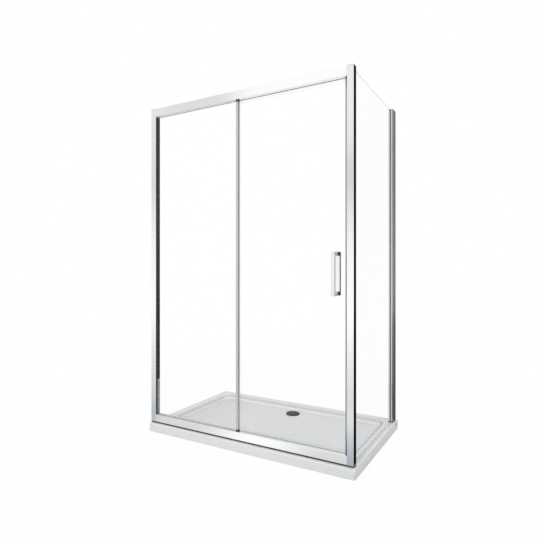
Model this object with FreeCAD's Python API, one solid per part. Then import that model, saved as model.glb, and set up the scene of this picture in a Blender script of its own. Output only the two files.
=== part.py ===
"""Framed corner shower enclosure on a low tray.

The front holds a fixed pane and a sliding door, and a frameless pane closes the right-hand side.
Walls stand on the left and at the back. The origin is the centre of the tray's underside:
+X runs to the right along the front, +Y from the front to the back wall, +Z up. Millimetres.
"""
import FreeCAD
import Part
import math
import os
from FreeCAD import Vector

# Tray
tray_length = 1300.0
tray_width = 800.0
tray_height = 50.0
tray_corner_radius = 14.0
tray_edge_radius = 9.0
rim_width = 58.0
recess_depth = 26.0
recess_wall_run = 18.0
recess_corner_radius = 70.0
recess_lip_radius = 6.0
recess_floor_radius = 14.0

# Waste outlet in the tray floor
waste_from_rear = 152.0
waste_bore = 50.0
waste_tube_wall = 3.5
waste_tube_clearance = 1.0
waste_floor_gap = 1.0
socket_length = 10.0
ledge_width = 4.0
ledge_height = 2.0
flange_diameter = 96.0
flange_thickness = 3.0
waste_gasket_thickness = 1.5
waste_nut_width = 11.0
waste_nut_height = 6.0
nut_room = 4.0
nut_recess = 3.0
thread_gap = 0.05

# Loose drain cover and its hair trap
cover_diameter = 88.0
cover_edge_thickness = 2.5
cover_dome_rise = 3.0
cover_gap = 2.0
cover_leg_count = 3
cover_leg_width = 5.0
trap_gap = 0.4
trap_wall = 1.5
trap_height = 9.0
trap_hole_diameter = 5.0
trap_hole_circle = 28.0
trap_hole_count = 8

# Frame, as seen from the front
frame_height = 1900.0
front_setback = 19.0
side_setback = 12.0
wall_inset = 2.0
stile_width = 37.0
post_width = 34.0
base_seal_height = 7.0
base_seal_inset = 2.0
wall = 2.0
profile_radius = 1.2
cap_thickness = 2.5
cap_plug_depth = 12.0
fit_gap = 0.3

# Glazing
glass = 6.0
glass_arris = 0.6
gasket = 4.0
gasket_depth = 12.0
gasket_recess = 1.0
pocket_depth = 18.0
glass_bite = 14.0
setting_block_length = 60.0
setting_block_inset = 120.0
side_glass_drop = 5.0
side_seal_width = 10.0
infill_height = 8.0
infill_wall = 1.5

# Meeting profile on the free edge of the fixed pane
meeting_from_right = 655.0
meeting_width = 14.0
meeting_cheek = 2.0
meeting_slot_depth = 9.0
meeting_end_height = 12.0
slot_gap = 0.2

# Door
door_overlap = 11.0
door_lift = 5.0
slot_clearance = 1.0
running_gap = 0.3
seal_lip = 1.3
closing_seal_grip = 6.0
overlap_seal_grip = 16.0
bottom_seal_grip = 12.0
bottom_seal_web = 2.0
drip_gap = 0.6
wiper_height = 21.0
wiper_gap = 1.0
door_seal_body = 5.0
strike_width = 4.0
magnet_thickness = 2.4
magnet_width = 5.0

# Rollers in the head rail
wheel_radius = 11.0
wheel_width = 4.2
wheel_gap = 0.4
axle_radius = 3.0
axle_gap = 0.05
axle_head_radius = 5.0
axle_head_thickness = 1.0
bush_radius = 7.0
bush_gap = 0.05
roller_from_edge = 90.0
glass_over_axle = 14.0
track_lip = 4.0
track_headroom = 3.0
port_chamber = 12.0
left_stop_length = 52.5
stop_gap = 0.5
stop_side_gap = 0.2

# Guides in the sill rail
shoe_length = 40.0
shoe_height = 18.0
shoe_lift = 1.0
tongue_depth = 12.0
tongue_gap = 0.5
groove_clearance = 3.0
sill_chamber = 21.0

# Handle, the same bar inside and outside
handle_from_right = 100.0
handle_above_rim = 912.0
handle_length = 214.0
handle_width = 20.0
handle_thickness = 16.0
handle_gap = 24.0
handle_leg = 20.0
handle_corner_radius = 1.2
handle_edge_radius = 0.8
handle_washer = 1.0
handle_washer_radius = 8.0
handle_bolt_radius = 3.0
handle_bolt_gap = 0.1
handle_bolt_bite = 13.0
handle_tip_room = 2.0
handle_hole_radius = 6.0

# Side panel's wall end
side_profile_depth = 69.0
side_channel_depth = 38.0
side_stile_width = 24.0
side_adjust_gap = 10.0
side_foot_height = 4.0

# Fasteners
channel_end_gap = 1.0
screw_boss = 9.0
rail_screw_radius = 2.0
rail_screw_gap = 0.1
rail_screw_bite = 20.0
rail_screw_head_radius = 4.0
rail_screw_head_height = 2.5
stile_screw_radius = 2.0
stile_screw_length = 12.0
stile_screw_head_radius = 3.8
stile_screw_head_height = 2.2
stile_screw_end = 250.0
wall_hole_radius = 3.0
wall_hole_end = 150.0
wall_hole_inner_spacing = 560.0

# Levels, from the floor up
floor_z = tray_height - recess_depth
base_z = tray_height + base_seal_height
frame_top = tray_height + frame_height
frame_middle = tray_height + frame_height / 2
extrusion_top = frame_top - cap_thickness
sill_top = base_z + wall + sill_chamber + wall + pocket_depth
axle_rise = track_lip + running_gap + wheel_radius
track_rise = axle_rise + glass_over_axle + track_headroom
head_bottom = frame_top - wall - port_chamber - wall - track_rise
axle_z = head_bottom + axle_rise
door_bottom = sill_top + door_lift
door_top = axle_z + glass_over_axle
track_top = head_bottom + track_rise

# Depths, from the front back
pocket_width = glass + 2 * gasket
track_width = glass + 2 * (wheel_width + 2 * wheel_gap)
track_slot = glass + 2 * slot_clearance
face_y = -tray_width / 2 + front_setback
fixed_y = face_y + wall + pocket_width / 2
divider_y = face_y + wall + pocket_width
door_y = divider_y + wall + track_width / 2
back_y = divider_y + wall + track_width + wall
rear_wall_y = tray_width / 2 - wall_inset
side_stile_y = rear_wall_y - side_profile_depth

# Widths, from the left to the right
left_wall_x = -tray_length / 2 + wall_inset
right_x = tray_length / 2 - side_setback
stile_x = left_wall_x + stile_width
post_x = right_x - post_width
side_x = right_x - post_width / 2
meeting_right = right_x - meeting_from_right
meeting_left = meeting_right - meeting_width
door_left = meeting_right - door_overlap
door_right = post_x - strike_width - running_gap - door_seal_body
handle_x = right_x - handle_from_right
handle_z = tray_height + handle_above_rim

X_AXIS = Vector(1, 0, 0)
Y_AXIS = Vector(0, 1, 0)
Z_AXIS = Vector(0, 0, 1)


def centred(middle, width):
    return (middle - width / 2, middle + width / 2)


def block(x, y, z):
    """A box from three (low, high) spans."""
    return Part.makeBox(x[1] - x[0], y[1] - y[0], z[1] - z[0], Vector(x[0], y[0], z[0]))


def parallel_edges(solid, axis):
    return [e for e in solid.Edges if abs(abs(e.tangentAt(e.FirstParameter).dot(axis)) - 1) < 1e-6]


def rounded_block(x, y, z, axis, radius):
    """A box whose long edges along the axis are rounded."""
    solid = block(x, y, z)
    return solid.makeFillet(radius, parallel_edges(solid, axis))


def rod(start, direction, length, radius):
    return Part.makeCylinder(radius, length, start, direction)


def ring(centre, outer, inner, low, high):
    """An upright tube about a vertical axis through the centre (x, y)."""
    start = Vector(centre[0], centre[1], low)
    return rod(start, Z_AXIS, high - low, outer).cut(rod(start, Z_AXIS, high - low, inner))


def pane(x, y, z):
    """A sheet of toughened glass with its sharp edges taken off."""
    sheet = block(x, y, z)
    return sheet.makeChamfer(glass_arris, sheet.Edges)


def screw(seat, direction, shank_radius, length, head_radius, head_height):
    """A pan-head screw whose head sits on the seat and whose shank points along the direction."""
    head = rod(seat - direction * head_height, direction, head_height, head_radius)
    return head.fuse(rod(seat, direction, length, shank_radius)).removeSplitter()


def save(node, *solids):
    shape = solids[0] if len(solids) == 1 else Part.makeCompound(list(solids))
    shape.exportStep("parts/" + node + ".step")


# Outline and section of the tray


def rounded_outline(length, width, radius, z):
    """A closed rounded rectangle about the origin that starts at the middle of the front."""
    a = length / 2
    b = width / 2
    bow = radius * (1 - math.sqrt(0.5))
    corners = [(a, -b, 1, -1), (a, b, 1, 1), (-a, b, -1, 1), (-a, -b, -1, -1)]
    edges = []
    last = Vector(0, -b, z)
    for x, y, sx, sy in corners:
        along_x = Vector(x - sx * radius, y, z)
        along_y = Vector(x, y - sy * radius, z)
        first, second = (along_x, along_y) if sx * sy < 0 else (along_y, along_x)
        edges.append(Part.LineSegment(last, first).toShape())
        edges.append(Part.Arc(first, Vector(x - sx * bow, y - sy * bow, z), second).toShape())
        last = second
    edges.append(Part.LineSegment(last, Vector(0, -b, z)).toShape())
    return Part.Wire(edges)


def fillet_arc(start, middle, end):
    return Part.Arc(start, middle, end).toShape()


def recess_cutter():
    """The hollow of the tray: one wall section carried round the rim, and the space inside it."""
    length = tray_length - 2 * rim_width
    width = tray_width - 2 * rim_width
    front = -width / 2
    slope = math.atan2(recess_depth, recess_wall_run)
    lip = recess_lip_radius * math.tan(slope / 2)
    toe = recess_floor_radius * math.tan(slope / 2)
    overlap = recess_floor_radius / 2
    above = tray_height + recess_lip_radius

    def at(inward, z):
        return Vector(0, front + inward, z)

    lip_top = at(-lip, tray_height)
    lip_end = at(lip * math.cos(slope), tray_height - lip * math.sin(slope))
    lip_middle = at(-lip + recess_lip_radius * math.sin(slope / 2),
                    tray_height - recess_lip_radius * (1 - math.cos(slope / 2)))
    toe_top = at(recess_wall_run - toe * math.cos(slope), floor_z + toe * math.sin(slope))
    toe_end = at(recess_wall_run + toe, floor_z)
    toe_middle = at(recess_wall_run + toe - recess_floor_radius * math.sin(slope / 2),
                    floor_z + recess_floor_radius * (1 - math.cos(slope / 2)))
    inner_low = at(recess_wall_run + toe + overlap, floor_z)
    inner_high = at(recess_wall_run + toe + overlap, above)
    outer_high = at(-lip, above)
    section = Part.Wire([
        fillet_arc(lip_top, lip_middle, lip_end),
        Part.LineSegment(lip_end, toe_top).toShape(),
        fillet_arc(toe_top, toe_middle, toe_end),
        Part.LineSegment(toe_end, inner_low).toShape(),
        Part.LineSegment(inner_low, inner_high).toShape(),
        Part.LineSegment(inner_high, outer_high).toShape(),
        Part.LineSegment(outer_high, lip_top).toShape(),
    ])
    path = rounded_outline(length, width, recess_corner_radius, tray_height)
    border = path.makePipeShell([section], True, False)
    inset = 2 * (recess_wall_run + toe)
    inner_radius = recess_corner_radius - inset / 2
    core = Part.Face(rounded_outline(length - inset, width - inset, inner_radius, floor_z))
    return border.fuse(core.extrude(Z_AXIS * (above - floor_z))).removeSplitter()


waste_centre = (0.0, tray_width / 2 - waste_from_rear)
waste_tube_radius = waste_bore / 2 + waste_tube_wall
flange_seat_z = floor_z - flange_thickness - waste_gasket_thickness
nut_radius = waste_tube_radius + thread_gap + waste_nut_width
nut_top = nut_recess + waste_nut_height
ledge_z = waste_floor_gap + socket_length
trap_seat_z = ledge_z + ledge_height
trap_radius = waste_bore / 2 - trap_gap


def waste_cylinder(radius, low, high):
    return rod(Vector(waste_centre[0], waste_centre[1], low), Z_AXIS, high - low, radius)


def make_tray():
    outline = Part.Face(rounded_outline(tray_length, tray_width, tray_corner_radius, 0))
    tray = outline.extrude(Z_AXIS * tray_height)
    top_edges = [e for e in tray.Edges if e.BoundBox.ZMin > tray_height - 1e-6]
    tray = tray.makeFillet(tray_edge_radius, top_edges)
    tray = tray.cut(recess_cutter())
    tray = tray.cut(waste_cylinder(waste_tube_radius + waste_tube_clearance, 0, floor_z))
    tray = tray.cut(waste_cylinder(flange_diameter / 2 + fit_gap, flange_seat_z, floor_z))
    tray = tray.cut(waste_cylinder(nut_radius + nut_room, 0, nut_top))
    save("shower_tray", tray.removeSplitter())


def make_waste():
    gasket_top = flange_seat_z + waste_gasket_thickness
    flange = ring(waste_centre, flange_diameter / 2, waste_bore / 2, gasket_top, floor_z)
    tube = ring(waste_centre, waste_tube_radius, waste_bore / 2, waste_floor_gap, gasket_top)
    ledge = ring(waste_centre, waste_bore / 2, waste_bore / 2 - ledge_width, ledge_z, trap_seat_z)
    save("waste_flange", flange.fuse([tube, ledge]).removeSplitter())
    save("waste_gasket", ring(waste_centre, flange_diameter / 2, waste_tube_radius + thread_gap,
                              flange_seat_z, gasket_top))
    save("waste_nut", ring(waste_centre, nut_radius, waste_tube_radius + thread_gap, nut_recess, nut_top))


def make_hair_trap():
    trap_top = trap_seat_z + trap_height
    trap = waste_cylinder(trap_radius, trap_seat_z, trap_top)
    trap = trap.cut(waste_cylinder(trap_radius - trap_wall, trap_seat_z + trap_wall, trap_top))
    for step in range(trap_hole_count):
        angle = 2 * math.pi * step / trap_hole_count
        out = Vector(math.cos(angle), math.sin(angle), 0) * (trap_hole_circle / 2)
        start = Vector(waste_centre[0], waste_centre[1], trap_seat_z) + out
        trap = trap.cut(rod(start, Z_AXIS, trap_wall, trap_hole_diameter / 2))
    save("hair_trap", trap)


def make_drain_cover():
    """A shallow domed disc on legs that stand on the hair trap's rim."""
    radius = cover_diameter / 2
    low = floor_z + cover_gap
    edge_top = low + cover_edge_thickness
    dome_radius = (radius ** 2 + cover_dome_rise ** 2) / (2 * cover_dome_rise)
    dome_centre = Vector(waste_centre[0], waste_centre[1], edge_top + cover_dome_rise - dome_radius)
    ball = Part.makeSphere(dome_radius, dome_centre)
    cover = waste_cylinder(radius, low, edge_top + cover_dome_rise).common(ball)
    leg_middle = trap_radius - trap_wall / 2
    leg_z = (trap_seat_z + trap_height, low)
    for step in range(cover_leg_count):
        leg = block(centred(leg_middle, trap_wall), centred(0, cover_leg_width), leg_z)
        leg.rotate(Vector(0, 0, 0), Z_AXIS, 360 * step / cover_leg_count)
        leg.translate(Vector(waste_centre[0], waste_centre[1], 0))
        cover = cover.fuse(leg)
    save("drain_cover", cover.removeSplitter())


# Frame


def rail_ports(z):
    """The two screw ports of a rail, one over each glass plane."""
    return [(fixed_y, z), (door_y, z)]


head_ports = rail_ports(frame_top - wall - screw_boss / 2)
sill_ports = rail_ports(base_z + wall + screw_boss / 2)
rail_span = (stile_x, post_x)
pocket_y = (face_y + wall, divider_y)
track_y = centred(door_y, track_width)


def cut_chamber(rail, y, z, port):
    """Hollows a chamber along a rail and leaves a boss with a screw port in it."""
    boss = block(rail_span, centred(port[0], screw_boss), centred(port[1], screw_boss))
    rail = rail.cut(block(rail_span, y, z).cut(boss))
    start = Vector(stile_x, port[0], port[1])
    return rail.cut(rod(start, X_AXIS, post_x - stile_x, rail_screw_radius + rail_screw_gap))


def make_head_rail():
    rail = rounded_block(rail_span, (face_y, back_y), (head_bottom, frame_top), X_AXIS, profile_radius)
    rail = rail.cut(block(rail_span, pocket_y, (head_bottom, head_bottom + pocket_depth)))
    rail = rail.cut(block(rail_span, track_y, (head_bottom + track_lip, track_top)))
    rail = rail.cut(block(rail_span, centred(door_y, track_slot), (head_bottom, head_bottom + track_lip)))
    chamber_top = frame_top - wall
    rail = cut_chamber(rail, pocket_y, (head_bottom + pocket_depth + wall, chamber_top), head_ports[0])
    rail = cut_chamber(rail, track_y, (track_top + wall, chamber_top), head_ports[1])
    save("head_rail", rail.removeSplitter())


def make_sill_rail():
    rail = rounded_block(rail_span, (face_y, back_y), (base_z, sill_top), X_AXIS, profile_radius)
    rail = rail.cut(block(rail_span, pocket_y, (sill_top - pocket_depth, sill_top)))
    groove_z = (sill_top - tongue_depth - groove_clearance, sill_top)
    rail = rail.cut(block(rail_span, centred(door_y, track_slot), groove_z))
    chamber_z = (base_z + wall, base_z + wall + sill_chamber)
    rail = cut_chamber(rail, pocket_y, chamber_z, sill_ports[0])
    rail = cut_chamber(rail, track_y, chamber_z, sill_ports[1])
    save("sill_rail", rail.removeSplitter())


def make_infills():
    """Clip-in strips that close the empty half of the fixed pane's pockets."""
    x = (meeting_right, post_x)
    y = (pocket_y[0] + slot_gap, pocket_y[1] - slot_gap)
    inside_y = (y[0] + infill_wall, y[1] - infill_wall)
    sill_strip = block(x, y, (sill_top - infill_height, sill_top))
    sill_strip = sill_strip.cut(block(x, inside_y, (sill_top - infill_height, sill_top - infill_wall)))
    save("sill_infill", sill_strip)
    head_strip = block(x, y, (head_bottom, head_bottom + infill_height))
    head_strip = head_strip.cut(block(x, inside_y, (head_bottom + infill_wall, head_bottom + infill_height)))
    save("head_infill", head_strip)


def make_base_seal():
    y = (face_y + base_seal_inset, back_y - base_seal_inset)
    save("base_seal", block((left_wall_x, right_x), y, (tray_height, base_z)))


post_z = (base_z, extrusion_top)
stile_web_x = stile_x - pocket_depth - wall
inner_y = (face_y + wall, back_y - wall)
stile_screw_heights = [base_z + stile_screw_end, frame_middle, frame_top - stile_screw_end]
stile_screw_x = (left_wall_x + stile_web_x) / 2
wall_hole_heights = [tray_height + wall_hole_end, frame_middle - wall_hole_inner_spacing / 2,
                     frame_middle + wall_hole_inner_spacing / 2, frame_top - wall_hole_end]


def make_wall_stile():
    """The left post: open to the wall on one side, with the glass pocket on the other."""
    stile = rounded_block((left_wall_x, stile_x), (face_y, back_y), post_z, Z_AXIS, profile_radius)
    stile = stile.cut(block((left_wall_x, stile_web_x), inner_y, post_z))
    stile = stile.cut(block((stile_web_x + wall, stile_x), pocket_y, post_z))
    stile = stile.cut(block((stile_web_x + wall, stile_x - wall), track_y, post_z))
    for y, z in head_ports + sill_ports:
        start = Vector(stile_web_x, y, z)
        stile = stile.cut(rod(start, X_AXIS, stile_x - stile_web_x, rail_screw_radius + rail_screw_gap))
    for z in stile_screw_heights:
        start = Vector(stile_screw_x, back_y, z)
        stile = stile.cut(rod(start, -Y_AXIS, wall, stile_screw_radius + rail_screw_gap))
    save("wall_stile", stile)


def make_wall_channel():
    """The U channel that is screwed to the left wall and hidden in the stile."""
    x = (left_wall_x, stile_web_x - channel_end_gap)
    y = (inner_y[0] + fit_gap, inner_y[1] - fit_gap)
    z = (base_z, extrusion_top - channel_end_gap)
    channel = block(x, y, z)
    channel = channel.cut(block((x[0] + wall, x[1]), (y[0] + wall, y[1] - wall), z))
    for height in wall_hole_heights:
        start = Vector(x[0], (y[0] + y[1]) / 2, height)
        channel = channel.cut(rod(start, X_AXIS, wall, wall_hole_radius))
    for height in stile_screw_heights:
        start = Vector(stile_screw_x, y[1], height)
        channel = channel.cut(rod(start, -Y_AXIS, wall, stile_screw_radius + rail_screw_gap))
    save("wall_channel", channel)


side_pocket_x = centred(side_x, pocket_width)
post_pocket_y = (back_y - pocket_depth, back_y)


def make_corner_post():
    """The front right post, with the side pane's pocket in its back."""
    post = rounded_block((post_x, right_x), (face_y, back_y), post_z, Z_AXIS, profile_radius)
    hollow = block((post_x + wall, right_x - wall), inner_y, post_z)
    pocket_box = block(centred(side_x, pocket_width + 2 * wall), (post_pocket_y[0] - wall, back_y), post_z)
    post = post.cut(hollow.cut(pocket_box))
    post = post.cut(block(side_pocket_x, post_pocket_y, post_z))
    for y, z in head_ports + sill_ports:
        post = post.cut(rod(Vector(post_x, y, z), X_AXIS, wall, rail_screw_radius + rail_screw_gap))
    save("corner_post", post)


def make_rail_screws():
    """Screws through the posts into the ports at the rail ends."""
    left = []
    right = []
    for y, z in head_ports + sill_ports:
        long_shank = stile_x - stile_web_x + rail_screw_bite
        left.append(screw(Vector(stile_web_x, y, z), X_AXIS, rail_screw_radius, long_shank,
                          rail_screw_head_radius, rail_screw_head_height))
        right.append(screw(Vector(post_x + wall, y, z), -X_AXIS, rail_screw_radius, wall + rail_screw_bite,
                           rail_screw_head_radius, rail_screw_head_height))
    save("stile_rail_screws", *left)
    save("post_rail_screws", *right)


def make_stile_screws():
    """Screws from inside the shower that lock the stile on its wall channel."""
    screws = []
    for z in stile_screw_heights:
        screws.append(screw(Vector(stile_screw_x, back_y, z), -Y_AXIS, stile_screw_radius,
                            stile_screw_length, stile_screw_head_radius, stile_screw_head_height))
    save("stile_screws", *screws)


def make_cap(node, x, y, plug_x, plug_y):
    """A cover on a post's open top with a plug that drops into one of its hollows."""
    cap = rounded_block(x, y, (extrusion_top, frame_top), Z_AXIS, profile_radius)
    plug_x = (plug_x[0] + fit_gap, plug_x[1] - fit_gap)
    plug_y = (plug_y[0] + fit_gap, plug_y[1] - fit_gap)
    plug = block(plug_x, plug_y, (extrusion_top - cap_plug_depth, extrusion_top))
    save(node, cap.fuse(plug).removeSplitter())


def make_post_caps():
    frame_y = (face_y, back_y)
    behind_screws = (door_y + screw_boss / 2, track_y[1])
    stile_hollow = (stile_web_x + wall, stile_x - wall)
    make_cap("stile_cap", (left_wall_x, stile_x), frame_y, stile_hollow, behind_screws)
    post_front_y = (face_y + wall, post_pocket_y[0] - wall)
    head_side = post_x + wall + rail_screw_head_height
    make_cap("post_cap", (post_x, right_x), frame_y, (head_side, right_x - wall), post_front_y)


# Fixed pane and its meeting profile

fixed_right = meeting_left + meeting_slot_depth
gasket_reach = gasket_recess + gasket_depth


def gasket_pair(x, y, z, across):
    """Two strips that hold the glass in a pocket, one on each side of it."""
    strips = []
    for side in (-1, 1):
        near = side * glass / 2
        far = side * pocket_width / 2
        low, high = sorted((near, far))
        if across == "y":
            strips.append(block(x, (y + low, y + high), z))
        else:
            strips.append(block((x + low, x + high), y, z))
    return strips


def make_fixed_pane():
    x = (stile_x - glass_bite, fixed_right)
    z = (sill_top - glass_bite, head_bottom + glass_bite)
    save("fixed_glass", pane(x, centred(fixed_y, glass), z))
    along = (stile_x, meeting_left)
    head_z = (head_bottom + gasket_recess, head_bottom + gasket_reach)
    sill_z = (sill_top - gasket_reach, sill_top - gasket_recess)
    stile_span = (stile_x - gasket_reach, stile_x - gasket_recess)
    save("head_gaskets", *gasket_pair(along, fixed_y, head_z, "y"))
    save("sill_gaskets", *gasket_pair(along, fixed_y, sill_z, "y"))
    save("stile_gaskets", *gasket_pair(stile_span, fixed_y, (sill_top, head_bottom), "y"))
    block_z = (sill_top - pocket_depth, sill_top - glass_bite)
    blocks = []
    for middle in (stile_x + setting_block_inset, meeting_left - setting_block_inset):
        blocks.append(block(centred(middle, setting_block_length), centred(fixed_y, glass), block_z))
    save("setting_blocks", *blocks)


def make_meeting_profile():
    """A slim upright on the fixed pane's edge that covers the gap to the door, and its two end pieces."""
    front = fixed_y - glass / 2 - slot_gap - meeting_cheek
    back = door_y - glass / 2 - seal_lip - running_gap
    x = (meeting_left, meeting_right)
    z = (sill_top, head_bottom)
    profile = rounded_block(x, (front, back), z, Z_AXIS, meeting_cheek / 2)
    profile = profile.cut(block((meeting_left, fixed_right), centred(fixed_y, glass + 2 * slot_gap), z))
    foot = block(x, (front, back), (sill_top, sill_top + meeting_end_height))
    head = block(x, (front, back), (head_bottom - meeting_end_height, head_bottom))
    save("meeting_profile", profile.cut(foot).cut(head).Solids[0])
    save("meeting_ends", profile.common(foot).Solids[0], profile.common(head).Solids[0])


# Side pane and its wall profile

side_stile_x = centred(side_x, side_stile_width)
side_channel_x = centred(side_x, side_stile_width + 2 * fit_gap + 2 * wall)
side_stile_end = rear_wall_y - wall - side_adjust_gap
side_z = (tray_height + side_foot_height, extrusion_top)
side_channel_y = rear_wall_y - side_channel_depth
side_screw_y = (side_channel_y + side_stile_end) / 2


def make_side_pane():
    y = (back_y - glass_bite, side_stile_y + glass_bite)
    z = (base_z, frame_top - side_glass_drop)
    save("side_glass", pane(centred(side_x, glass), y, z))
    post_y = (back_y - gasket_reach, back_y - gasket_recess)
    stile_y = (side_stile_y + gasket_recess, side_stile_y + gasket_reach)
    save("post_gaskets", *gasket_pair(side_x, post_y, z, "x"))
    save("side_gaskets", *gasket_pair(side_x, stile_y, z, "x"))
    seal_y = (back_y, side_stile_y)
    save("side_base_seal", block(centred(side_x, side_seal_width), seal_y, (tray_height, base_z)))


def make_side_stile():
    """The side pane's rear upright, which slides in and out of its wall channel to suit the wall."""
    stile = rounded_block(side_stile_x, (side_stile_y, side_stile_end), side_z, Z_AXIS, profile_radius)
    stile = stile.cut(block(side_pocket_x, (side_stile_y, side_stile_y + pocket_depth), side_z))
    hollow_x = (side_stile_x[0] + wall, side_stile_x[1] - wall)
    hollow_y = (side_stile_y + pocket_depth + wall, side_stile_end - wall)
    stile = stile.cut(block(hollow_x, hollow_y, side_z))
    for z in stile_screw_heights:
        start = Vector(side_stile_x[0], side_screw_y, z)
        stile = stile.cut(rod(start, X_AXIS, wall, stile_screw_radius + rail_screw_gap))
    save("side_stile", stile)
    cap_y = (side_stile_y, rear_wall_y)
    make_cap("side_stile_cap", side_channel_x, cap_y, hollow_x, hollow_y)


def make_side_channel():
    y = (side_channel_y, rear_wall_y)
    channel = rounded_block(side_channel_x, y, side_z, Z_AXIS, profile_radius)
    inside_x = (side_channel_x[0] + wall, side_channel_x[1] - wall)
    channel = channel.cut(block(inside_x, (y[0], y[1] - wall), side_z))
    for z in wall_hole_heights:
        channel = channel.cut(rod(Vector(side_x, rear_wall_y, z), -Y_AXIS, wall, wall_hole_radius))
    for z in stile_screw_heights:
        start = Vector(side_channel_x[0], side_screw_y, z)
        channel = channel.cut(rod(start, X_AXIS, wall, stile_screw_radius + rail_screw_gap))
    save("side_wall_channel", channel)
    foot_z = (tray_height, tray_height + side_foot_height)
    save("side_foot", block(side_channel_x, (side_stile_y, rear_wall_y), foot_z))
    screws = []
    for z in stile_screw_heights:
        screws.append(screw(Vector(side_channel_x[0], side_screw_y, z), X_AXIS, stile_screw_radius,
                            stile_screw_length, stile_screw_head_radius, stile_screw_head_height))
    save("side_stile_screws", *screws)


# Door

roller_places = {"left": door_left + roller_from_edge, "right": door_right - roller_from_edge}
handle_bolt_reach = (handle_length - handle_leg) / 2
handle_bolt_heights = [handle_z - handle_bolt_reach, handle_z + handle_bolt_reach]
door_faces = centred(door_y, glass)
shoe_top = sill_top + shoe_lift + shoe_height
wiper_z = (head_bottom - wiper_gap - wiper_height, head_bottom - wiper_gap)
door_seal_z = (sill_top + drip_gap, wiper_z[1])
between_seals = (door_left + overlap_seal_grip, door_right - closing_seal_grip)


def make_door_glass():
    door = pane((door_left, door_right), door_faces, (door_bottom, door_top))
    for x in roller_places.values():
        door = door.cut(rod(Vector(x, door_faces[0], axle_z), Y_AXIS, glass, bush_radius))
    for z in handle_bolt_heights:
        door = door.cut(rod(Vector(handle_x, door_faces[0], z), Y_AXIS, glass, handle_hole_radius))
    save("door_glass", door)


def grip(x, z):
    """The outside of a strip or shoe that is clipped over an edge of the door glass."""
    return block(x, centred(door_y, glass + 2 * seal_lip), z)


def make_door_seals():
    strips = []
    for side in (-1, 1):
        low, high = sorted((side * glass / 2, side * (glass / 2 + seal_lip)))
        strips.append(block(between_seals, (door_y + low, door_y + high), wiper_z))
    save("door_top_wipers", *strips)

    door_block = block((door_left, door_right), door_faces, door_seal_z)
    overlap = grip((door_left - seal_lip, between_seals[0]), door_seal_z)
    save("door_overlap_seal", overlap.cut(door_block))

    closing = grip((between_seals[1], door_right + door_seal_body), door_seal_z)
    magnet_x = (door_right, door_right + magnet_thickness)
    magnet = block(magnet_x, centred(door_y, magnet_width), door_seal_z)
    save("door_magnetic_seal", closing.cut(door_block).cut(magnet))
    save("door_magnet", magnet)


def make_bottom_seal():
    """A clear strip along the door's lower edge with a drip lip on the inside."""
    x = (between_seals[0] + shoe_length, between_seals[1] - shoe_length)
    z = (door_bottom - bottom_seal_web, door_bottom + bottom_seal_grip)
    strip = grip(x, z).cut(block(x, door_faces, (door_bottom, z[1])))
    lip = block(x, (door_faces[1], door_faces[1] + seal_lip), (sill_top + drip_gap, door_bottom))
    save("door_bottom_seal", strip.fuse(lip).removeSplitter())


def make_strike_seal():
    z = (sill_top, head_bottom)
    y = centred(door_y, glass + 2 * seal_lip)
    magnet = block((post_x - magnet_thickness, post_x), centred(door_y, magnet_width), z)
    save("strike_seal", block((post_x - strike_width, post_x), y, z).cut(magnet))
    save("strike_magnet", magnet)


def make_guide_shoes():
    """Clear shoes on the door's lower edge, near its corners, whose tongues run in the sill's groove."""
    shoe_z = (sill_top + shoe_lift, shoe_top)
    tongue_y = centred(door_y, track_slot - 2 * tongue_gap)
    tongue_z = (sill_top - tongue_depth, shoe_z[0])
    left, right = between_seals
    spans = {"left": (left, left + shoe_length), "right": (right - shoe_length, right)}
    for side, x in spans.items():
        shoe = grip(x, shoe_z)
        shoe = shoe.cut(block(x, door_faces, (door_bottom, shoe_top)))
        shoe = shoe.fuse(block(x, tongue_y, tongue_z)).removeSplitter()
        save("guide_shoe_" + side, shoe)


def make_rollers():
    """Twin wheels on an axle through the glass, running on the two lips of the track."""
    bushes = []
    wheel_inner = glass / 2 + wheel_gap
    wheel_outer = wheel_inner + wheel_width
    recess = axle_head_thickness + wheel_gap
    for side, x in roller_places.items():
        bush = rod(Vector(x, door_faces[0], axle_z), Y_AXIS, glass, bush_radius - bush_gap)
        bushes.append(bush.cut(rod(Vector(x, door_faces[0], axle_z), Y_AXIS, glass, axle_radius + bush_gap)))
        shaft_start = Vector(x, door_y - wheel_outer, axle_z)
        axle = rod(shaft_start, Y_AXIS, 2 * wheel_outer, axle_radius)
        wheels = []
        for way in (-1, 1):
            out = Y_AXIS * way
            middle = Vector(x, door_y, axle_z)
            outside = middle + out * wheel_outer
            axle = axle.fuse(rod(outside, -out, axle_head_thickness, axle_head_radius))
            wheel = rod(middle + out * wheel_inner, out, wheel_width, wheel_radius)
            wheel = wheel.cut(rod(middle, out, wheel_outer, axle_radius + axle_gap))
            wheels.append(wheel.cut(rod(outside, -out, recess, axle_head_radius + wheel_gap)))
        save("roller_axle_" + side, axle.removeSplitter())
        save("roller_wheels_" + side, *wheels)
    save("roller_bushes", *bushes)


def make_track_stops():
    """Blocks in the ends of the track that the door glass comes up against, which set its travel."""
    y = (track_y[0] + stop_side_gap, track_y[1] - stop_side_gap)
    z = (head_bottom + track_lip, track_top)
    save("track_stop_left", block((stile_x, stile_x + left_stop_length), y, z))
    save("track_stop_right", block((door_right + stop_gap, post_x), y, z))


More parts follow.
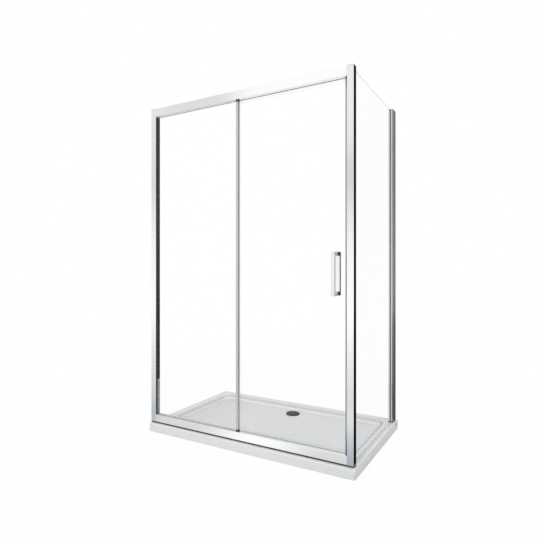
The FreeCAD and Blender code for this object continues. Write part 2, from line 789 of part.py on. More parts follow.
def make_handle():
    """Two pulls of one shape, clamped to each other through the glass."""
    bolts = []
    washers = []
    sides = centred(handle_x, handle_width)
    for node, way in (("handle_outside", -1), ("handle_inside", 1)):
        out = Y_AXIS * way
        face = door_y + way * glass / 2
        foot = face + way * handle_washer
        near = face + way * handle_gap
        far = near + way * handle_thickness
        whole = block(sides, sorted((foot, far)), centred(handle_z, handle_length))
        hollow = block(sides, sorted((foot, near)), centred(handle_z, handle_length - 2 * handle_leg))
        pull = whole.cut(hollow)
        pull = pull.makeFillet(handle_corner_radius, parallel_edges(pull, X_AXIS))
        flanks = [f for f in pull.Faces if min(abs(f.CenterOfMass.x - x) for x in sides) < 1e-6]
        pull = pull.makeFillet(handle_edge_radius, [e for f in flanks for e in f.Edges])
        for z in handle_bolt_heights:
            seat = Vector(handle_x, foot, z)
            hole_depth = handle_bolt_bite + handle_tip_room
            pull = pull.cut(rod(seat, out, hole_depth, handle_bolt_radius + handle_bolt_gap))
            washer = rod(Vector(handle_x, face, z), out, handle_washer, handle_washer_radius)
            washers.append(washer.cut(rod(Vector(handle_x, face, z), out, handle_washer,
                                          handle_bolt_radius + handle_bolt_gap)))
        save(node, pull)
    reach = glass / 2 + handle_washer + handle_bolt_bite
    for z in handle_bolt_heights:
        bolts.append(rod(Vector(handle_x, door_y - reach, z), Y_AXIS, 2 * reach, handle_bolt_radius))
    save("handle_bolts", *bolts)
    save("handle_washers", *washers)


os.makedirs("parts", exist_ok=True)
make_tray()
make_waste()
make_hair_trap()
make_drain_cover()
make_base_seal()
make_head_rail()
make_sill_rail()
make_infills()
make_wall_stile()
make_wall_channel()
make_corner_post()
make_rail_screws()
make_stile_screws()
make_post_caps()
make_fixed_pane()
make_meeting_profile()
make_strike_seal()
make_side_pane()
make_side_stile()
make_side_channel()
make_door_glass()
make_door_seals()
make_bottom_seal()
make_guide_shoes()
make_rollers()
make_track_stops()
make_handle()
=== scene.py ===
import math

import bpy
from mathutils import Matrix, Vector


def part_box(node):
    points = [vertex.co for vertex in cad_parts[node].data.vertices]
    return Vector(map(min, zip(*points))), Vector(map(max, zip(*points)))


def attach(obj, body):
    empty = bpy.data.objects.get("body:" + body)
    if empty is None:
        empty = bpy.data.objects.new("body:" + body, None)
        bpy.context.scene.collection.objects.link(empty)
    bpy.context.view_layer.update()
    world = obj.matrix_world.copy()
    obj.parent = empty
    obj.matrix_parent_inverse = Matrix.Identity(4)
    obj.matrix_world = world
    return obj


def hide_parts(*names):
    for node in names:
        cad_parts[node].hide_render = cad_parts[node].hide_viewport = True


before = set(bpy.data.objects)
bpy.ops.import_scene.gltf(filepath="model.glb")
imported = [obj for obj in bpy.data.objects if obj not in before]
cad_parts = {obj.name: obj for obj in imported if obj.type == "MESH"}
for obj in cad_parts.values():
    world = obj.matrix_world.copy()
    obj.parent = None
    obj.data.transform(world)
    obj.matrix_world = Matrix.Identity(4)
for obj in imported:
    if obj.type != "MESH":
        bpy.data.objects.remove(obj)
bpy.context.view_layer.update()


# Shower tray
# A low white tray, vacuum-formed from gloss acrylic over a filled resin back, with a rolled rim.
# It lies flat on the room's floor, and the whole frame stands on its rim.

class Shade:
    """A socket in a node tree: arithmetic on shades adds Math nodes, and node() adds any other kind."""

    def __init__(self, tree, socket=None):
        self.tree = tree
        self.socket = socket

    def node(self, kind, settings, output=None, **sockets):
        """The named output of a new node, with its settings made and its sockets set or linked."""
        made = self.tree.nodes.new(kind)
        for name, value in settings.items():
            if name == "stops":
                self.set_stops(made.color_ramp.elements, value)
            else:
                setattr(made, name, value)
        for name, value in sockets.items():
            target = self.find(made.inputs, name)
            if isinstance(value, Shade):
                self.tree.links.new(value.socket, target)
            else:
                target.default_value = value
        return Shade(self.tree, self.find(made.outputs, output) if output else None)

    def other(self, output):
        """Another output of the node that this socket belongs to."""
        return Shade(self.tree, self.find(self.socket.node.outputs, output))

    @staticmethod
    def set_stops(elements, stops):
        """A ramp's stops, each a place and a colour: the two that it starts with, then those between."""
        for element, (place, colour) in zip(elements, (stops[0], stops[-1])):
            element.position = place
            element.color = (*colour, 1.0)
        for place, colour in stops[1:-1]:
            elements.new(place).color = (*colour, 1.0)

    @staticmethod
    def find(sockets, name):
        for socket in sockets:
            if name in (socket.identifier, socket.identifier.replace(" ", "_")):
                return socket
        raise KeyError(name)

    def math(self, operation, first, second):
        return self.node("ShaderNodeMath", {"operation": operation}, "Value",
                         Value=first, Value_001=second)

    def vector(self, operation, other=(0.0, 0.0, 0.0), output="Vector"):
        return self.node("ShaderNodeVectorMath", {"operation": operation}, output,
                         Vector=self, Vector_001=other)

    def __abs__(self):
        return self.math("ABSOLUTE", self, 0.0)

    def __add__(self, other):
        return self.math("ADD", self, other)

    def __radd__(self, other):
        return self.math("ADD", other, self)

    def __sub__(self, other):
        return self.math("SUBTRACT", self, other)

    def __rsub__(self, other):
        return self.math("SUBTRACT", other, self)

    def __mul__(self, other):
        return self.math("MULTIPLY", self, other)

    def __rmul__(self, other):
        return self.math("MULTIPLY", other, self)


def new_finish(name):
    """An empty material, with the Object coordinates that its patterns are laid out on."""
    finish = bpy.data.materials.new(name)
    finish.use_nodes = True
    finish.node_tree.nodes.clear()
    return finish, Shade(finish.node_tree).node("ShaderNodeTexCoord", {}, "Object")


def surface(places, **sockets):
    shader = places.node("ShaderNodeBsdfPrincipled", {}, "BSDF", **sockets)
    places.node("ShaderNodeOutputMaterial", {}, Surface=shader)


def axes(vector):
    """The X, Y and Z of a place or a direction."""
    x = vector.node("ShaderNodeSeparateXYZ", {}, "X", Vector=vector)
    return x, x.other("Y"), x.other("Z")


def noise(places, scale, detail=2.0):
    return places.node("ShaderNodeTexNoise", {}, "Fac", Vector=places, Scale=scale, Detail=detail)


def ramp(value, low, high):
    """A soft step from 0 at low to 1 at high."""
    return value.node("ShaderNodeMapRange", {"interpolation_type": "SMOOTHSTEP"}, "Result",
                      Value=value, From_Min=low, From_Max=high)


def blend(factor, first, second):
    """A mix of two colours, each a constant or a shade."""
    first, second = (end if isinstance(end, Shade) else (*end, 1.0) for end in (first, second))
    return factor.node("ShaderNodeMix", {"data_type": "RGBA"}, "Result_Color",
                       Factor_Float=factor, A_Color=first, B_Color=second)


def bump(height, depth):
    return height.node("ShaderNodeBump", {}, "Normal", Height=height, Strength=1.0, Distance=depth)


def dress(finish, *nodes):
    """Puts a finish on the named pieces."""
    for name in nodes:
        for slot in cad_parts[name].material_slots:
            slot.material = finish


half_length, half_width, tray_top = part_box("shower_tray")[1]
inset = 0.03
# Where the painted shade on the recess floor fades out along X, and the heights of the painted dark band
# at the lip of the recess walls.
left_shade_ends = (-0.60, -0.10)
lip_heights = (0.030, 0.038)

# Painted light and shade on the tray: the recess floor darker towards the left, the rim band lighter, the
# recess walls lighter at the foot and darker at the lip, the recess's right wall and the rear edge
# darker, and a painted highlight on the rolled right edge.
tray_acrylic, places = new_finish("tray_acrylic")
x, y, z = axes(places)
upward = axes(places.other("Normal"))[2]
inside = ramp(x.math("MINIMUM", half_length - inset - abs(x), half_width - inset - abs(y)), 0.0, 0.01)
# The recess walls, which get painted light at their foot and painted shade at their lip.
slope = inside * (1.0 - ramp(upward, 0.72, 0.98))
# Painted light: the flat band of the rim is a little lighter than the recess floor.
rim = ramp(z, tray_top - 0.015, tray_top - 0.004) * ramp(upward, 0.20, 0.90)
# Painted shade: the recess floor is darker towards its left end.
smear_and_painted_shade = inside * (1.0 - ramp(x + 0.10 * noise(places, 3.0), *left_shade_ends))
left_end = 1.0 - ramp(x, 0.05 - half_length, 0.11 - half_length)
# Painted shade: the right wall of the recess is much darker.
painted_right_wall_shade = ramp(x, half_length - 0.098, half_length - 0.080) * (1.0 - rim) * inside
# Painted highlight along the rolled right edge of the rim.
painted_right_edge_highlight = ramp(x, half_length - 0.011, half_length - 0.003) * ramp(z, 0.018, 0.040)
# Painted shade along the rear edge.
painted_rear_edge_shade = ramp(y, half_width - 0.014, half_width - 0.004)
# Painted light at the foot of the recess walls and painted shade at their lip, both lighter at the left
# end.
wall_foot = blend(left_end, (0.800, 0.805, 0.808), (0.870, 0.875, 0.878))
wall_lip = blend(left_end, (0.600, 0.607, 0.613), (0.735, 0.741, 0.746))
skin = blend(smear_and_painted_shade, (0.692, 0.702, 0.710), (0.625, 0.635, 0.643))
skin = blend(rim, skin, (0.725, 0.730, 0.733))
skin = blend(slope, skin, blend(ramp(z, *lip_heights), wall_foot, wall_lip))
skin = blend(painted_right_edge_highlight, skin, (0.930, 0.935, 0.940))
skin = blend(painted_rear_edge_shade, skin, (0.600, 0.606, 0.610))
surface(
    places,
    Base_Color=blend(painted_right_wall_shade, skin, (0.470, 0.478, 0.486)),
    Roughness=0.24 + 0.04 * noise(places, 8.0),
    Coat_Weight=0.08,
    Coat_Roughness=0.08,
    Normal=bump(noise(places, 40.0, 1.0), 0.000002),
)
dress(tray_acrylic, "shower_tray")


# Waste under the tray
# A chromed brass flange in the tray's recess, pulled down on a rubber gasket by a moulded nut below.
# The flange's bright ring shows round the drain cover.

def moulded(name, colour, shaded, roughness):
    """Injection-moulded plastic: cloudy colour, a fine grain from the mould and uneven gloss."""
    finish, places = new_finish(name)
    surface(
        places,
        Base_Color=blend(noise(places, 60.0), shaded, colour),
        Roughness=roughness + 0.12 * noise(places, 180.0),
        Normal=bump(noise(places, 900.0), 0.00002),
    )
    return finish


def rubber(name, colour, dusty):
    """Extruded rubber: matt, with a dusty bloom and a fine pitted skin."""
    finish, places = new_finish(name)
    surface(
        places,
        Base_Color=blend(ramp(noise(places, 140.0), 0.45, 0.75), colour, dusty),
        Roughness=0.55 + 0.25 * noise(places, 300.0),
        Normal=bump(noise(places, 1400.0), 0.00003),
    )
    return finish


def facing_right(places):
    """1 where the surface faces along X, towards the right."""
    return ramp(axes(places.other("Normal"))[0], 0.7, 0.9)


def plated(name, colour, smudged, roughness, metal=1.0, right_side=None):
    """Chrome plate: a mirror, or a milky satin, with faint wiping marks and finger marks. A right side is
    a tint on the faces that face the right: painted shade on the inner pull, painted light on the outer
    one.
    """
    finish, places = new_finish(name)
    marks = ramp(noise(places, 45.0, 4.0), 0.50, 0.72)
    skin = blend(marks, colour, smudged)
    if right_side:
        skin = blend(facing_right(places), skin, right_side)
    surface(
        places,
        Base_Color=skin,
        Metallic=metal,
        Roughness=roughness + 0.07 * marks + 0.02 * noise(places, 700.0),
    )
    return finish


black_rubber = rubber("black_rubber", (0.018, 0.018, 0.019), (0.045, 0.045, 0.046))
bright_chrome = plated("bright_chrome", (0.93, 0.935, 0.94), (0.86, 0.87, 0.88), roughness=0.03)
white_plastic = moulded("white_plastic", (0.78, 0.78, 0.76), (0.72, 0.72, 0.70), roughness=0.35)
dress(black_rubber, "waste_gasket")
dress(bright_chrome, "waste_flange")
dress(white_plastic, "waste_nut")


# Hair trap and drain cover
# A moulded basket sits in the flange, and a turned cap of dark-plated brass drops over it.
# The two lift out together by the cap's edge.

drain_centre = tuple(sum(ends) / 2.0 for ends in zip(*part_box("drain_cover")))
flattened = (1.0, 1.0, 0.0)

dark_plate, places = new_finish("dark_plate")
from_centre = places.vector("SUBTRACT", drain_centre).vector("MULTIPLY", flattened)
radius = from_centre.vector("LENGTH", output="Value")
turning = radius.node("ShaderNodeTexNoise", {"noise_dimensions": "1D"}, "Fac", W=radius, Scale=2600.0)
spots = ramp(noise(places, 160.0, 3.0), 0.52, 0.75)
surface(
    places,
    Base_Color=blend(spots, (0.018, 0.019, 0.020), (0.034, 0.035, 0.037)),
    Metallic=0.30,
    Specular_IOR_Level=0.25,
    Roughness=0.46 + 0.14 * turning,
    Normal=bump(turning, 0.00001),
)
dress(white_plastic, "hair_trap")
dress(dark_plate, "drain_cover")


# Base seal
# A flat strip of black rubber between the tray's rim and the front frame.
# It is pressed under the sill and both posts, and shows as a dark line.

dress(black_rubber, "base_seal")


# Left wall channel, stile and locking screws
# An aluminium channel is screwed to the wall, and the bright stile slips over it to stand upright.
# Three pan-head screws through the stile's inner flange lock the two together.

along_x = (1.0, 0.0, 0.0)
along_y = (0.0, 1.0, 0.0)
along_z = (0.0, 0.0, 1.0)
mirror_grain = 0.0000003
satin_grain = 0.000004


def drawn_lines(places, run, lengthwise, crosswise):
    """Fine lines along the run of an extrusion, as its die leaves them."""
    stretch = tuple(lengthwise if part else crosswise for part in run)
    drawn = places.node("ShaderNodeMapping", {}, "Vector", Vector=places, Scale=stretch)
    return noise(drawn, 1.0, 3.0)


def extruded(name, run, colour, shaded, roughness, grain, metal=1.0, foot=None, top=None, smear_and_painted_shade=None):
    """An aluminium extrusion: die lines along its run, and painted shade at its foot or top.

    A foot is a tint and how high it reaches; a top is a tint; both are painted shade. A tint with a
    function that says where it lies gives painted shade there, which also takes the metal's shine away.
    """
    finish, places = new_finish(name)
    lines = drawn_lines(places, run, lengthwise=3.0, crosswise=420.0)
    skin = blend(lines, shaded, colour)
    height = axes(places)[2]
    # Painted shade: a darker, bluish foot and a darker top.
    if foot:
        tint, reach = foot
        skin = blend(1.0 - ramp(height, 0.03, reach), skin, tint)
    if top:
        skin = blend(ramp(height, 1.15, 1.70), skin, top)
    # Painted shade, which also dulls the metal, where the given function says.
    if smear_and_painted_shade:
        tint, lies = smear_and_painted_shade
        painted_dull_shade = lies(places)
        skin = blend(painted_dull_shade, skin, tint)
        metal = metal * (1.0 - painted_dull_shade)
        roughness = roughness + 0.40 * painted_dull_shade
    surface(
        places,
        Base_Color=skin,
        Metallic=metal,
        Roughness=roughness + 0.03 * lines + 0.02 * noise(places, 9.0),
        Normal=bump(lines, grain),
    )
    return finish


def low_inside(places):
    """The foot of the side that faces into the shower, where the left stile's painted shade lies."""
    return facing_right(places) * (1.0 - ramp(axes(places)[2], 0.300, 0.312))


# The left stile: a painted darker, bluish foot, and painted dark shade low on its inner side, where the
# metal is also dulled.
bright_upright = extruded(
    "bright_upright", along_z, (0.97, 0.975, 0.98), (0.95, 0.955, 0.96), roughness=0.03,
    grain=mirror_grain, foot=((0.74, 0.80, 0.83), 0.22), smear_and_painted_shade=((0.33, 0.33, 0.335), low_inside))
satin_upright = extruded(
    "satin_upright", along_z, (0.80, 0.80, 0.805), (0.70, 0.70, 0.71), roughness=0.30, grain=satin_grain)
dress(satin_upright, "wall_channel")
dress(bright_upright, "wall_stile")


def screw_tree():
    """Pan-head screws with a cross recess, one on each point, their heads towards Axis."""
    tree = bpy.data.node_groups.new("pan_head_screws", "GeometryNodeTree")
    socket = tree.interface.new_socket
    socket("Geometry", in_out="INPUT", socket_type="NodeSocketGeometry")
    for name in ("Head Radius", "Head Height", "Shank Radius", "Shank Length", "Recess"):
        socket(name, in_out="INPUT", socket_type="NodeSocketFloat")
    socket("Axis", in_out="INPUT", socket_type="NodeSocketVector")
    socket("Material", in_out="INPUT", socket_type="NodeSocketMaterial")
    socket("Geometry", in_out="OUTPUT", socket_type="NodeSocketGeometry")
    given = tree.nodes.new("NodeGroupInput")
    size = {entry.name: Shade(tree, entry) for entry in given.outputs if entry.name}
    radius = size["Head Radius"]
    height = size["Head Height"]
    length = size["Shank Length"]

    def vector(x, y, z):
        return radius.node("ShaderNodeCombineXYZ", {}, "Vector", X=x, Y=y, Z=z)

    def block(x, y, z):
        return radius.node("GeometryNodeMeshCube", {}, "Mesh", Size=vector(x, y, z))

    def placed(mesh, **sockets):
        return radius.node("GeometryNodeTransform", {}, "Geometry", Geometry=mesh, **sockets)

    def raised(mesh, distance):
        return placed(mesh, Translation=vector(0.0, 0.0, distance))

    ball = radius.node("GeometryNodeMeshUVSphere", {}, "Mesh", Segments=28, Rings=16, Radius=radius)
    head = placed(ball, Scale=vector(1.0, 1.0, height.math("DIVIDE", height, radius)))
    lower_half = raised(block(4.0 * radius, 4.0 * radius, 2.0 * radius), -1.0 * radius)
    arm = 1.1 * radius
    slit = 0.26 * radius
    depth = 2.0 * size["Recess"]
    first_arm = raised(block(arm, slit, depth), height)
    second_arm = raised(block(slit, arm, depth), height)
    for cut in (lower_half, first_arm, second_arm):
        head = radius.node("GeometryNodeMeshBoolean", {"operation": "DIFFERENCE"}, "Mesh",
                           Mesh_1=head, Mesh_2=cut)
    rod = radius.node("GeometryNodeMeshCylinder", {}, "Mesh",
                      Vertices=16, Radius=size["Shank Radius"], Depth=length)
    shank = raised(rod, -0.5 * length)
    screw = radius.node("GeometryNodeJoinGeometry", {}, "Geometry", Geometry=head)
    tree.links.new(shank.socket, Shade.find(screw.socket.node.inputs, "Geometry"))
    turned = radius.node("FunctionNodeAlignRotationToVector", {"axis": "Z"}, "Rotation",
                         Vector=size["Axis"])
    spread = radius.node("GeometryNodeInstanceOnPoints", {}, "Instances",
                         Points=size["Geometry"], Instance=screw, Rotation=turned)
    real = radius.node("GeometryNodeRealizeInstances", {}, "Geometry", Geometry=spread)
    coated = radius.node("GeometryNodeSetMaterial", {}, "Geometry",
                         Geometry=real, Material=size["Material"])
    result = tree.nodes.new("NodeGroupOutput")
    tree.links.new(coated.socket, result.inputs[0])
    return tree


# Zinc-plated steel: bright, with the crystals of the plating
zinc_steel, places = new_finish("zinc_steel")
flakes = places.node("ShaderNodeTexVoronoi", {}, "Distance", Vector=places, Scale=900.0)
surface(
    places,
    Base_Color=blend(flakes, (0.72, 0.72, 0.73), (0.58, 0.59, 0.61)),
    Metallic=1.0,
    Roughness=0.22 + 0.18 * flakes,
)

pan_head_screws = screw_tree()
screw_heights = (0.307, 1.000, 1.700)


def screws(name, x, y, axis, replaced):
    """Locking screws at the three heights, with the undersides of their heads at x and y."""
    points = bpy.data.meshes.new(name)
    points.from_pydata([(x, y, z) for z in screw_heights], [], [])
    piece = bpy.data.objects.new(name, points)
    bpy.context.scene.collection.objects.link(piece)
    modifier = piece.modifiers.new("screws", "NODES")
    modifier.node_group = pan_head_screws
    sizes = {
        "Head Radius": 0.0038,
        "Head Height": 0.0022,
        "Shank Radius": 0.0019,
        "Shank Length": 0.0115,
        "Recess": 0.0013,
        "Axis": axis,
        "Material": zinc_steel,
    }
    for item in pan_head_screws.interface.items_tree:
        if item.in_out == "INPUT" and item.name in sizes:
            modifier[item.identifier] = sizes[item.name]
    settled = piece.evaluated_get(bpy.context.evaluated_depsgraph_get())
    solid = bpy.data.meshes.new_from_object(settled)
    piece.modifiers.clear()
    piece.data = solid
    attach(piece, "enclosure")
    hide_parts(replaced)


screws("stile_pan_screws", x=-0.6395, y=-0.345, axis=along_y, replaced="stile_screws")


# Sill and head rail, corner post and their screws
# Bright extrusions cut square: the rails butt between the two uprights, which run the full height.
# Self-tapping screws go through each upright into the rails' screw ports.

door_y = sum(corner[1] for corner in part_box("door_glass")) / 2.0
slot_sides = (0.0042, 0.0048)
slot_floor = (0.070, 0.075)
slot_ceiling = (1.936, 1.940)


def in_track(places):
    """The slots that the door runs in, between the sill's floor and the head rail's top, which are
    painted darker as shade.
    """
    _, y, height = axes(places)
    return (
        (1.0 - ramp(abs(y - door_y), *slot_sides))
        * ramp(height, *slot_floor)
        * (1.0 - ramp(height, *slot_ceiling))
    )


# The rails' door slots are painted a dull dark grey, and the corner post gets a painted darker, bluish
# foot and a darker top: all painted shade.
bright_skin = ((0.98, 0.985, 0.99), (0.96, 0.965, 0.97))
bright_rail = extruded(
    "bright_rail", along_x, *bright_skin, roughness=0.03, grain=mirror_grain,
    smear_and_painted_shade=((0.45, 0.45, 0.455), in_track))
bright_post = extruded(
    "bright_post", along_z, *bright_skin, roughness=0.03, grain=mirror_grain,
    foot=((0.55, 0.60, 0.66), 0.34), top=(0.83, 0.84, 0.845))
dress(bright_rail, "sill_rail", "head_rail")
dress(bright_post, "corner_post")
dress(zinc_steel, "stile_rail_screws", "post_rail_screws")


# Caps
# Small moulded caps, metallised to match the frame, close the open tops of the posts and the rear stile.
# They are pressed into the profiles.

metallised_cap, places = new_finish("metallised_cap")
grain = noise(places, 420.0)
surface(
    places,
    Base_Color=blend(grain, (0.52, 0.53, 0.54), (0.62, 0.63, 0.64)),
    Metallic=0.9,
    Roughness=0.20 + 0.12 * grain,
    Normal=bump(grain, 0.00001),
)
dress(metallised_cap, "stile_cap", "post_cap", "side_stile_cap")


# Fixed front pane
# Six millimetre toughened glass stands on two setting blocks in the sill, held by push-in gaskets.
# Its polished edges are grey-green, and its faces are almost invisible.

def clear_pane(name, through):
    """Toughened glass: faces nearly clear, ground edges grey-green, told apart by the way they face."""
    finish, places = new_finish(name)
    lined_up = abs(places.other("Normal").vector("DOT_PRODUCT", through, "Value"))
    edge = 1.0 - ramp(lined_up, 0.75, 0.95)
    smear_and_painted_shade = noise(places, 2.2, 4.0)
    surface(
        places,
        Base_Color=blend(edge, (0.88, 0.94, 0.92), (0.52, 0.60, 0.57)),
        Roughness=0.02 + 0.04 * smear_and_painted_shade + 0.18 * edge,
        Alpha=0.012 + 0.014 * smear_and_painted_shade + 0.38 * edge,
    )
    return finish


front_glass = clear_pane("front_glass", through=along_y)
nylon = moulded("nylon", (0.76, 0.75, 0.71), (0.68, 0.67, 0.63), roughness=0.40)
grey_gasket = rubber("grey_gasket", (0.36, 0.365, 0.37), (0.42, 0.425, 0.43))
# The same push-in gasket holds the pane at the head and at the sill; near white at the head is painted
# light against the shade under the head rail.
white_gasket = rubber("white_gasket", (0.90, 0.905, 0.91), (0.84, 0.845, 0.85))
dress(nylon, "setting_blocks")
dress(white_gasket, "head_gaskets")
dress(grey_gasket, "sill_gaskets")
dress(black_rubber, "stile_gaskets")
dress(front_glass, "fixed_glass")


# Rail infills
# Snap-in bright strips close the empty half of the glazing pockets, where the door runs behind.
# They are pushed into the head rail and the sill.

dress(bright_rail, "sill_infill", "head_infill")


# Meeting profile
# A slim satin upright on the free edge of the fixed pane, which the door's left edge closes behind.
# It is pushed onto the glass, and black moulded ends seat it on the rails.

grey_upright = extruded(
    "grey_upright", along_z, (0.56, 0.56, 0.565), (0.50, 0.50, 0.505), roughness=0.36, grain=satin_grain,
    metal=0.25)
black_plastic = moulded("black_plastic", (0.055, 0.056, 0.058), (0.040, 0.041, 0.043), roughness=0.40)
dress(grey_upright, "meeting_profile")
dress(black_plastic, "meeting_ends")


# Closing strip
# A grey extruded strip on the corner post, with a magnet strip inside, meets its twin on the door.
# It is pushed into a slot in the post.

def drawn_plastic(name, run, colour, shaded, opacity, roughness, ends=None):
    """Extruded soft plastic: faint flow lines along its run, and painted shade near the ends of an
    upright one.
    """
    finish, places = new_finish(name)
    lines = drawn_lines(places, run, lengthwise=2.0, crosswise=260.0)
    skin = blend(lines, shaded, colour)
    if ends:
        height = axes(places)[2]
        # Painted shade: near black towards the foot and at the top.
        skin = blend(1.0 - ramp(height, 0.11, 0.24) + ramp(height, 1.84, 1.90), skin, ends)
    surface(
        places,
        Base_Color=skin,
        Roughness=roughness + 0.15 * lines,
        Alpha=opacity + 0.25 * opacity * lines if opacity < 1.0 else 1.0,
        Normal=bump(lines, 0.000006),
    )
    return finish


# A flexible magnet: dark brown, with the powder's specks
magnet_strip, places = new_finish("magnet_strip")
specks = ramp(noise(places, 2200.0), 0.5, 0.7)
surface(
    places,
    Base_Color=blend(specks, (0.030, 0.027, 0.025), (0.075, 0.070, 0.066)),
    Roughness=0.60 + 0.20 * specks,
)

# The strike seal's ends are painted near black: painted shade at its foot and top.
grey_strip = drawn_plastic(
    "grey_strip", along_z, (0.34, 0.34, 0.345), (0.29, 0.29, 0.295), opacity=1.0, roughness=0.40,
    ends=(0.12, 0.12, 0.125))
dress(grey_strip, "strike_seal")
dress(magnet_strip, "strike_magnet")


# Side pane
# The frameless return pane stands on a clear seal on the tray's rim, its front edge in the corner post.
# Its back edge sits in a stile that slips over a wall channel and is locked by three screws.

side_glass_finish = clear_pane("side_glass_finish", through=along_x)
clear_return = drawn_plastic(
    "clear_return", along_y, (0.62, 0.63, 0.63), (0.56, 0.57, 0.57), opacity=0.035, roughness=0.40)
side_upright = extruded(
    "side_upright", along_z, (0.86, 0.875, 0.885), (0.78, 0.795, 0.805), roughness=0.12,
    grain=0.5 * satin_grain, metal=0.92)
# The right wall channel is made a darker, greenish aluminium where the left one is a light satin: painted
# shade.
side_channel = extruded(
    "side_channel", along_z, (0.45, 0.505, 0.485), (0.39, 0.435, 0.42), roughness=0.30,
    grain=satin_grain, metal=0.80)
pale_gasket = rubber("pale_gasket", (0.51, 0.54, 0.60), (0.59, 0.62, 0.68))
dress(side_glass_finish, "side_glass")
dress(pale_gasket, "post_gaskets", "side_gaskets")
dress(clear_return, "side_base_seal")
dress(side_upright, "side_stile")
dress(side_channel, "side_wall_channel")
dress(black_rubber, "side_foot")
screws("side_pan_screws", x=0.6067, y=0.373, axis=(-1.0, 0.0, 0.0), replaced="side_stile_screws")


# Sliding door
# A second pane of toughened glass, with clear seals pushed on its top, left and bottom edges.
# A grey magnetic seal closes its right edge, and two clear shoes guide it in the sill.

clear_skin = ((0.86, 0.88, 0.88), (0.74, 0.76, 0.77))
clear_rail = drawn_plastic("clear_rail", along_x, *clear_skin, opacity=0.035, roughness=0.22)
clear_upright = drawn_plastic("clear_upright", along_z, *clear_skin, opacity=0.035, roughness=0.22)
dress(front_glass, "door_glass")
dress(clear_rail, "door_top_wipers", "door_bottom_seal", "guide_shoe_left", "guide_shoe_right")
dress(clear_upright, "door_overlap_seal")
# The door's magnetic seal takes the same painted shade at its ends.
dress(grey_strip, "door_magnetic_seal")
dress(magnet_strip, "door_magnet")


# Rollers and stops
# Twin nylon wheels on steel axles, bushed through the glass, hang the door on the head rail's track.
# A moulded stop at each end of the track limits the door's travel.

dress(zinc_steel, "roller_axle_left", "roller_axle_right")
dress(nylon, "roller_wheels_left", "roller_wheels_right", "roller_bushes")
dress(nylon, "track_stop_left", "track_stop_right")


# Handle
# Two square chromed pulls whose legs are flush with the bar. The outer one's milky satin and the inner
# one's bright chrome are painted light and shade on one chrome finish, as are their right flanks.
# Bolts through the glass draw them together on clear washers.

# The inner pull's right flanks are painted dark: painted shade.
handle_chrome = plated(
    "handle_chrome", (0.95, 0.955, 0.96), (0.90, 0.91, 0.92), roughness=0.03,
    right_side=(0.20, 0.20, 0.205))
# The outer pull's milky satin and light right flanks are painted light.
handle_satin = plated(
    "handle_satin", (0.77, 0.775, 0.78), (0.73, 0.74, 0.75), roughness=0.20, metal=0.2,
    right_side=(0.97, 0.975, 0.98))
dress(handle_satin, "handle_outside")
dress(handle_chrome, "handle_inside")
dress(zinc_steel, "handle_bolts")
dress(clear_upright, "handle_washers")


# Floor
# A matt white studio floor, white to the camera and in bright metal, which keeps the tray's soft shadow.
# Grey areas on it, seen only in reflections, give the chrome its gradients.

def seen_directly(shade):
    """Two masks: what the camera, a mirror or clear glass shows, and what a mirror alone shows."""
    camera_ray = shade.node("ShaderNodeLightPath", {}, "Is_Camera_Ray")
    glossy_ray = camera_ray.other("Is_Glossy_Ray")
    either = camera_ray.math("MAXIMUM", camera_ray, glossy_ray)
    return either.math("MAXIMUM", either, camera_ray.other("Is_Transmission_Ray")), glossy_ray


def around(places, centre, inner, outer):
    """1 within inner of a point on the floor, fading to 0 at outer."""
    return 1.0 - ramp(places.vector("SUBTRACT", centre).vector("LENGTH", output="Value"), inner, outer)


floor_half = 7.0
floor_mesh = bpy.data.meshes.new("studio_floor")
floor_mesh.from_pydata(
    [(-floor_half, -floor_half, 0.0), (floor_half, -floor_half, 0.0),
     (floor_half, floor_half, 0.0), (-floor_half, floor_half, 0.0)],
    [], [(0, 1, 2, 3)],
)
studio_floor = bpy.data.objects.new("studio_floor", floor_mesh)
bpy.context.scene.collection.objects.link(studio_floor)

white = (1.0, 1.0, 1.0)
floor_tones = [
    (0.0, (0.0, 0.0, 0.0)),
    (0.45, (0.40, 0.46, 0.53)),
    (0.65, (0.66, 0.67, 0.68)),
    (1.0, white),
]
frame_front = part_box("sill_rail")[0][1]
shadow_depth = 0.05

floor_finish, places = new_finish("floor_finish")
seen, mirrored = seen_directly(places)
x, y, _ = axes(places)
ahead = y.math("MAXIMUM", frame_front - y, 0.05)
shelter = 0.70 * ahead.math("POWER", ahead, 0.22)
sheen = around(places, (-0.01, -0.57, 0.0), 0.04, 0.46)
wider_sheen = around(places, (-0.05, -0.60, 0.0), 0.60, 0.95)
in_front = shelter + (0.58 * sheen + 0.42 * wider_sheen) * (1.0 - shelter)
lit = in_front + ramp(y, -0.42, -0.38) * (0.90 - in_front)
beside = ramp(x, 0.672, 0.686) * ramp(y, -0.42, -0.30)
beyond = ramp(x, -0.60, -0.30) * ramp(y, 0.42, 0.45)
dark = x.math("MAXIMUM", beside, beyond)
tone = places.node("ShaderNodeValToRGB", {"stops": floor_tones}, "Color", Fac=lit - 0.99 * dark)
paper = places.node("ShaderNodeBsdfDiffuse", {}, "BSDF", Color=(0.84, 0.84, 0.84, 1.0))
glow = places.node("ShaderNodeEmission", {}, "Emission", Color=blend(mirrored, white, tone), Strength=1.0)
near = around(places, (0.0, 0.0, 0.0), 0.7, 2.6)
shown = seen - shadow_depth * near * (seen - mirrored)
mixed = places.node("ShaderNodeMixShader", {}, "Shader", Fac=shown, Shader=paper, Shader_001=glow)
places.node("ShaderNodeOutputMaterial", {}, Surface=mixed)
studio_floor.data.materials.append(floor_finish)


# Studio light
# A white surround with soft fill, and two large soft boxes, one in front towards the left and one above.
# Darker fields in the surround, seen only in reflections, shade the chrome as a real studio does.

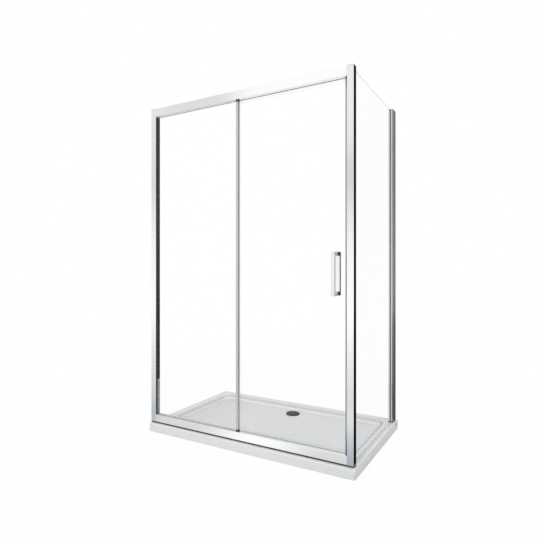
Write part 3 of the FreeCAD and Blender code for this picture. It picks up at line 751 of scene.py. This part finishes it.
def field(sky, azimuth, elevation, inner, outer):
    """1 within inner degrees of a direction, fading to 0 at outer. Azimuth turns from +X towards +Y."""
    turn = math.radians(azimuth)
    lift = math.radians(elevation)
    aim = (math.cos(lift) * math.cos(turn), math.cos(lift) * math.sin(turn), math.sin(lift))
    towards = sky.vector("DOT_PRODUCT", aim, "Value")
    return ramp(towards, math.cos(math.radians(outer)), math.cos(math.radians(inner)))


wall_tones = [
    (0.05, white),
    (0.24, (0.93, 0.93, 0.93)),
    (0.45, (0.72, 0.725, 0.73)),
    (0.60, (0.78, 0.785, 0.79)),
    (0.85, (0.87, 0.875, 0.88)),
]
studio = bpy.data.worlds.new("studio")
bpy.context.scene.world = studio
studio.use_nodes = True
studio.node_tree.nodes.clear()
sky = Shade(studio.node_tree).node("ShaderNodeTexCoord", {}, "Generated")
seen, mirrored = seen_directly(sky)
level = sky.vector("MULTIPLY", flattened).vector("NORMALIZE")
dark_screen = field(level, azimuth=57.0, elevation=0.0, inner=17.0, outer=24.0)
bright_panel = field(sky, azimuth=245.5, elevation=22.0, inner=5.0, outer=11.5)
grey_panel = field(sky, azimuth=231.5, elevation=20.0, inner=1.0, outer=6.0)
height = axes(sky)[2]
banded = height.node("ShaderNodeMapRange", {}, "Result", Value=height, From_Min=-0.1, From_Max=0.5)
wall = banded.node("ShaderNodeValToRGB", {"stops": wall_tones}, "Color", Fac=banded)
wall = blend(0.6 * grey_panel, wall, (0.68, 0.685, 0.69))
wall = blend(bright_panel, wall, white)
wall = blend(dark_screen, wall, (0.006, 0.007, 0.008))
surround = sky.node("ShaderNodeBackground", {}, "Background",
                    Color=blend(mirrored, white, wall), Strength=1.0)
fill = sky.node("ShaderNodeBackground", {}, "Background", Color=(*white, 1.0), Strength=0.62)
light = sky.node("ShaderNodeMixShader", {}, "Shader", Fac=seen, Shader=fill, Shader_001=surround)
sky.node("ShaderNodeOutputWorld", {}, Surface=light)


def soft_box(name, place, target, width, power):
    """A square lamp at a place, turned towards a target, that no mirror shows."""
    lamp = bpy.data.lights.new(name, "AREA")
    lamp.size = width
    lamp.energy = power
    holder = bpy.data.objects.new(name, lamp)
    holder.location = place
    aim = [end - start for start, end in zip(place, target)]
    holder.rotation_euler = (
        math.atan2(math.hypot(aim[0], aim[1]), -aim[2]),
        0.0,
        math.atan2(-aim[0], aim[1]),
    )
    holder.visible_glossy = False
    holder.visible_camera = False
    bpy.context.scene.collection.objects.link(holder)


soft_box("front_soft_box", place=(-0.3, -3.8, 2.0), target=(0.0, 0.0, 0.6), width=2.4, power=62.0)
soft_box("top_soft_box", place=(0.3, 0.3, 4.4), target=(0.1, 0.0, 0.0), width=2.6, power=50.0)


# Camera
# Level, at chest height, turned towards the corner post as in the photograph.
# Its picture is shifted down a little, so that the posts stay upright.

camera = bpy.data.objects.new("camera", bpy.data.cameras.new("camera"))
camera.data.sensor_fit = "HORIZONTAL"
camera.data.sensor_width = 36.0
camera.data.lens = 30.307
camera.data.shift_y = -0.00946
camera.location = (1.3551, -2.4295, 1.0049)
camera.rotation_euler = (math.radians(90.0), 0.0, math.radians(29.729))
bpy.context.scene.collection.objects.link(camera)
bpy.context.scene.camera = camera
bpy.context.scene.view_settings.view_transform = "Standard"
